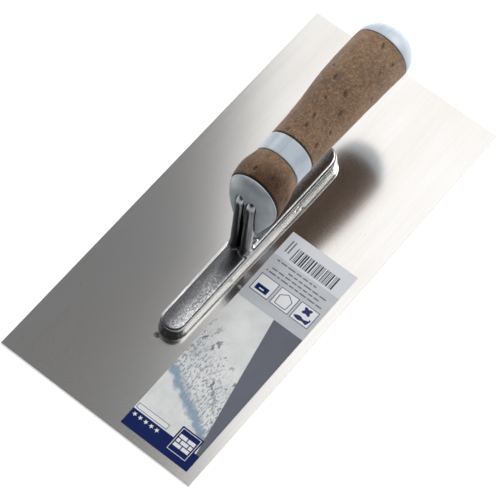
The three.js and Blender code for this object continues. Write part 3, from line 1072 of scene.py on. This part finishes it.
class TROWEL_OT_mouldings(bpy.types.Operator):
    """Builds the handle's plastic nose, collar and end cap"""

    bl_idname = "trowel.mouldings"
    bl_label = "Plastic Mouldings"

    def execute(self, context):
        back = [(NOSE_END, 0.3), (NOSE_END, 0.85)]
        edge = rounded_edge(NOSE_END, -0.7, 0.035)
        dome = dome_profile(NOSE_END - 0.7, 0.7 - NOSE_DEPTH, 60)[1:]
        nose = self.moulding("nose_moulding", back + edge + dome, 200, "handle_nose")
        self.tuck(nose)
        room = piece("nose_socket", neck_shape(NECK_END + 3, 0.35))
        cut = nose.modifiers.new("Socket", "BOOLEAN")
        cut.object = room
        cut.operation = "DIFFERENCE"
        cut.solver = "EXACT"
        applied(nose)
        bpy.data.objects.remove(room)
        reskinned(nose, 0.3 * MM, 5)
        wears(nose, moulded_abs("moulded_abs_nose", linear("#b7c0c4"), "#a8b2b8"))

        sleeve = sleeve_profile(*COLLAR, 0.45, 0.03, 0.6)
        collar = self.moulding("collar_moulding", sleeve, 160, "handle_collar", closed=True)
        colour = list(context.scene.trowel_handle.plastic_colour)
        wears(collar, moulded_abs("moulded_abs_collar", colour, "#c3cfda"))

        front, floor = CAP_START, CAP_START + 9.2
        hollow = [(floor, 0.01), (floor, 0.62), (floor - 0.3, 0.64), (front, 0.64)]
        dome = dome_profile(front + 0.6, CAP_DEPTH - 0.6, 60, 0.9)[1:]
        shell = rounded_edge(front, 0.6, 0.03) + dome
        cap = self.moulding("end_cap_moulding", hollow + shell, 160, "handle_end_cap")
        wears(cap, moulded_abs("moulded_abs_end_cap", linear("#b9c3ce"), "#c4cdd7"))
        return {"FINISHED"}

    @staticmethod
    def moulding(name, profile, sides, node, closed=False):
        """A plastic piece from its profile on the handle."""
        return piece(name, tube(handle_rings(profile, sides), closed), [node])

    @staticmethod
    def tuck(nose):
        """Draws the nose's lower half in at the sides and down along the neck."""
        points = points_of(nose)
        x, middle = points[:, 0], outline(points[:, 0], MIDDLE)
        low = np.clip((middle + BLADE_TOP - points[:, 2]) / (middle - outline(x, BOTTOM)), 0, 1)
        ahead = np.clip((NOSE_END - x) / NOSE_DEPTH, 0, 1)
        points[:, 1] *= 1 - NOSE_STEP * np.minimum(1, 5 * ahead) - NOSE_PINCH * ahead * low
        points[:, 2] -= NOSE_DROOP * low**1.5 * np.minimum(1, 2.5 * ahead)
        move_points(nose, points)


class TROWEL_OT_leather(bpy.types.Operator):
    """Builds the two leather grip sleeves with their pitted face"""

    bl_idname = "trowel.leather"
    bl_label = "Leather Sleeves"

    def execute(self, context):
        finish = brown_leather()
        sleeves = [
            ("front_leather_sleeve", FRONT_SLEEVE, "front_grip_sleeve", 11),
            ("rear_leather_sleeve", REAR_SLEEVE, "rear_grip_sleeve", 4),
        ]
        for name, (start, end), node, seed in sleeves:
            profile = sleeve_profile(start, end, 0.8, 0.04, 0.34)
            rings = handle_rings(profile, context.scene.trowel_handle.sides)
            sleeve = piece(name, tube(rings, closed=True), [node])
            self.pit(sleeve, start, end, seed, context.scene.trowel_handle)
            wears(sleeve, finish)
        return {"FINISHED"}

    def pit(self, sleeve, start, end, seed, settings):
        """Sinks scattered slanting pits, and stores how deep in a pit each point lies."""
        random = np.random.default_rng(seed)
        points, out = points_of(sleeve), normals_of(sleeve)
        middle = outline(points[:, 0], MIDDLE) + BLADE_TOP
        angle = np.arctan2(points[:, 1], points[:, 2] - middle)
        radius = np.hypot(points[:, 1], points[:, 2] - middle)
        outer = radius > 0.9 * outline(points[:, 0], HALF)
        spacing = settings.pit_spacing / MM
        depth = np.zeros(len(points))
        rows = max(2, round((end - start) / spacing))
        columns = max(6, round(2 * math.pi * 16 / spacing))
        for row in range(rows):
            for column in range(columns):
                if random.uniform() < PIT_SKIP:
                    continue
                x = start + (end - start) * (row + random.uniform(0.1, 0.9)) / rows
                turn = 2 * math.pi * (column + random.uniform(0, 1)) / columns - math.pi
                length, width = random.uniform(1.2, 2.4), random.uniform(0.75, 1.15)
                slant = random.normal(0.15, 0.25)
                along = points[:, 0] - x
                side = ((angle - turn + math.pi) % (2 * math.pi) - math.pi) * radius
                near = np.abs(along) + np.abs(side) < 6
                u = along[near] * math.cos(slant) + side[near] * math.sin(slant)
                v = side[near] * math.cos(slant) - along[near] * math.sin(slant)
                ragged = 1 + 0.35 * ripple(points[near], 1.3, seed + column, 5)
                share = np.exp(-(((u / length) ** 2 + (v / width) ** 2) ** 1.5) * ragged)
                depth[near] = np.maximum(depth[near], share * random.uniform(0.5, 1))
        depth *= outer
        swell = 0.10 * ripple(points, 14, seed) + 0.05 * ripple(points, 4, seed + 1)
        sink = depth * settings.pit_depth / MM
        points += out * ((swell - 0.08) * outer - sink)[:, None]
        move_points(sleeve, points)
        store(sleeve, "pit", depth)


class TROWEL_OT_seams(bpy.types.Operator):
    """Builds the two dark rings in the handle's joints"""

    bl_idname = "trowel.seams"
    bl_label = "Seam Rings"

    def execute(self, context):
        finish = dark_rubber()
        for name, x in [("nose_seam", NOSE_SEAM), ("collar_seam", COLLAR_SEAM)]:
            turn = np.linspace(0, math.pi, 9)
            crown = [(x - 0.25 * math.cos(t), 0.95 + 0.015 * math.sin(t)) for t in turn]
            rings = handle_rings(crown + [(x + 0.25, INNER), (x - 0.25, INNER)], 160)
            ring = piece(name, tube(rings, closed=True), [f"{name}_ring"])
            wears(ring, finish)
        return {"FINISHED"}


class TROWEL_OT_label(bpy.types.Operator):
    """Builds the printed film label, with plain marks in place of words"""

    bl_idname = "trowel.label"
    bl_label = "Label"

    def execute(self, context):
        wears(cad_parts["blade_label"], plaster_picture())
        navy = printed_film("navy_print", "#001b5e", "#0b296c", 0.2)
        white = printed_film("white_print", "#fdfdff", "#f0f2f6")
        slate = printed_film("slate_print", "#70737f", "#81848f")
        silver = printed_film("silver_print", "#cdd0d5", "#e0e2e5", 0.5)
        pale = printed_film("pale_print", "#e6e9ee", "#f2f4f7")
        black = printed_film("black_print", "#303036", "#505058")
        violet = printed_film("violet_print", "#34306f", "#4a4684")
        ink("band_print", 1, navy, [box(0, 0, 11, 45)])
        ink("wedge_print", 1, slate, [[(11, 0), (100, 0), (100, 19.8), (11, 2.5)]])
        ink("strip_print", 1, silver, [box(100, 0, 132.8, 45)])
        ink("end_print", 1, pale, [box(132.8, 0, 150, 45)])
        ink("square_print", 2, navy, [box(3.2, 3.6, 19.6, 17.8)])
        ink("stars_print", 2, white, [star(8.4, 27 + 3.75 * i, 1.55) for i in range(5)])
        ink("blank_box_edge", 2, navy, [box(11.9, 23.4, 15.2, 44.2)])
        ink("blank_box_print", 3, white, [box(12.2, 23.7, 14.9, 43.9)])
        ink("square_frame", 3, white, border(4.1, 4.5, 18.7, 16.9, 0.35))
        ink("square_mark", 3, white, bricks(11.4, 10.7))
        rows = [30.1, 16.2, 2.4]
        ink("panel_edges", 2, navy, [box(106.8, v, 118.9, v + 12.4) for v in rows])
        ink("panel_prints", 3, white, [box(107.2, v + 0.4, 118.5, v + 12) for v in rows])
        ink("size_icon", 4, navy, [box(108.6, 32.4, 112.6, 40.4)])
        ink("size_icon_light", 5, white, [box(109.9, 35.0, 110.7, 38.0)])
        ink("shield_icon", 4, violet, house(112.8, 22.4, 4.3))
        ink("hide_icon", 4, violet, [hide(115.4, 8.6, 2.7)])
        ink("grip_icon", 4, violet, [grip(109.6, 8.6)])
        ink("word_bars", 2, slate, word_bars())
        ink("stripe_bars", 2, black, stripe_bars())
        return {"FINISHED"}


class TROWEL_OT_inner_parts(bpy.types.Operator):
    """Finishes the core, the washer and the screw inside the handle"""

    bl_idname = "trowel.inner_parts"
    bl_label = "Inner Parts"

    def execute(self, context):
        zinc = bpy.data.materials.get("zinc_plated_steel") or zinc_plated_steel()
        core = moulded_abs("moulded_abs_core", linear("#aab4bf"), "#98a4b0")
        wears(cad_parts["handle_core"], core)
        wears(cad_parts["screw_washer"], zinc)
        wears(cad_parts["handle_screw"], zinc)
        return {"FINISHED"}


class TROWEL_OT_studio(bpy.types.Operator):
    """Builds the pale floor, the soft lights and the camera"""

    bl_idname = "trowel.studio"
    bl_label = "Studio"

    def execute(self, context):
        scene, settings = context.scene, context.scene.trowel_studio
        scene.view_settings.view_transform = "Standard"
        self.floor()
        world = bpy.data.worlds.new("even_light")
        world.use_nodes = True
        background = world.node_tree.nodes["Background"]
        background.inputs["Color"].default_value = linear("#f4f6fa")
        # The room is dark behind the camera and lighter in front of it.
        tree = world.node_tree
        ahead = add(tree, "dot", add(tree, "direction"), (0.85, 0.52, 0))
        room = settings.room_light
        light = add(tree, "range", ahead, -0.4, 0.35, 0.22 * room, room)
        tree.links.new(light, background.inputs["Strength"])
        scene.world = world
        for name, place, aim, *shape in LIGHTS:
            self.softbox(name, Vector(place), Vector(aim), *shape)
        self.camera(settings)
        return {"FINISHED"}

    @staticmethod
    def floor():
        """A pale sheet that lies just under the blade."""
        mesh = bpy.data.meshes.new("floor")
        mesh.from_pydata([(-4, -4, 0), (4, -4, 0), (4, 4, 0), (-4, 4, 0)], [], [(0, 1, 2, 3)])
        floor = placed("floor", mesh)
        floor.location.z = -0.05 * MM
        wears(floor, lit_white_acrylic())

    @staticmethod
    def softbox(name, place, aim, width, depth, turn, brightness):
        """A soft rectangular light of an even brightness that faces a point."""
        light = bpy.data.lights.new(name, "AREA")
        light.shape, light.size, light.size_y = "RECTANGLE", width, depth
        light.energy = brightness * math.pi * width * depth
        box = placed(name, light)
        box.location = place
        facing = (place - aim).to_track_quat("Z", "Y").to_matrix()
        box.rotation_euler = (facing @ Matrix.Rotation(math.radians(turn), 3, "Z")).to_euler()
        box.visible_camera = False

    @staticmethod
    def camera(settings):
        """A long lens that looks down along the blade from its front right corner."""
        azimuth, elevation = settings.azimuth, settings.elevation
        level = Vector((math.sin(azimuth), -math.cos(azimuth), 0))
        back = level * math.cos(elevation) + Vector((0, 0, math.sin(elevation)))
        data = bpy.data.cameras.new("camera")
        data.sensor_width = 36
        data.lens = LENS
        data.clip_start, data.clip_end = 0.05, 20
        camera = placed("camera", data)
        camera.location = Vector(AIM) * MM + back * settings.distance
        facing = (-back).to_track_quat("-Z", "Y").to_matrix()
        camera.rotation_euler = (facing @ Matrix.Rotation(settings.roll, 3, "Z")).to_euler()
        bpy.context.scene.camera = camera


class TROWEL_PT_panel(bpy.types.Panel):
    bl_label = "Finishing Trowel"
    bl_idname = "TROWEL_PT_panel"
    bl_space_type = "VIEW_3D"
    bl_region_type = "UI"
    bl_category = "Trowel"

    def draw(self, context):
        column = self.layout.column(align=True)
        for operator in OPERATORS:
            column.operator(operator.bl_idname)
        for name, _ in SETTINGS:
            settings = getattr(context.scene, name)
            box = self.layout.box()
            for key in settings.__annotations__:
                box.prop(settings, key)


SETTINGS = [
    ("trowel_blade", BladeSettings),
    ("trowel_casting", CastingSettings),
    ("trowel_handle", HandleSettings),
    ("trowel_studio", StudioSettings),
]
OPERATORS = [
    TROWEL_OT_blade,
    TROWEL_OT_rivets,
    TROWEL_OT_casting,
    TROWEL_OT_mouldings,
    TROWEL_OT_leather,
    TROWEL_OT_seams,
    TROWEL_OT_label,
    TROWEL_OT_inner_parts,
    TROWEL_OT_studio,
]


def register():
    for _, group in SETTINGS:
        bpy.utils.register_class(group)
    for name, group in SETTINGS:
        setattr(bpy.types.Scene, name, PointerProperty(type=group))
    for operator in OPERATORS:
        bpy.utils.register_class(operator)
    bpy.utils.register_class(TROWEL_PT_panel)


def unregister():
    bpy.utils.unregister_class(TROWEL_PT_panel)
    for operator in reversed(OPERATORS):
        bpy.utils.unregister_class(operator)
    for name, group in reversed(SETTINGS):
        delattr(bpy.types.Scene, name)
        bpy.utils.unregister_class(group)


def main():
    register()
    for build in (
        bpy.ops.trowel.blade,
        bpy.ops.trowel.rivets,
        bpy.ops.trowel.casting,
        bpy.ops.trowel.mouldings,
        bpy.ops.trowel.leather,
        bpy.ops.trowel.seams,
        bpy.ops.trowel.label,
        bpy.ops.trowel.inner_parts,
        bpy.ops.trowel.studio,
    ):
        build()


if __name__ == "__main__":
    main()
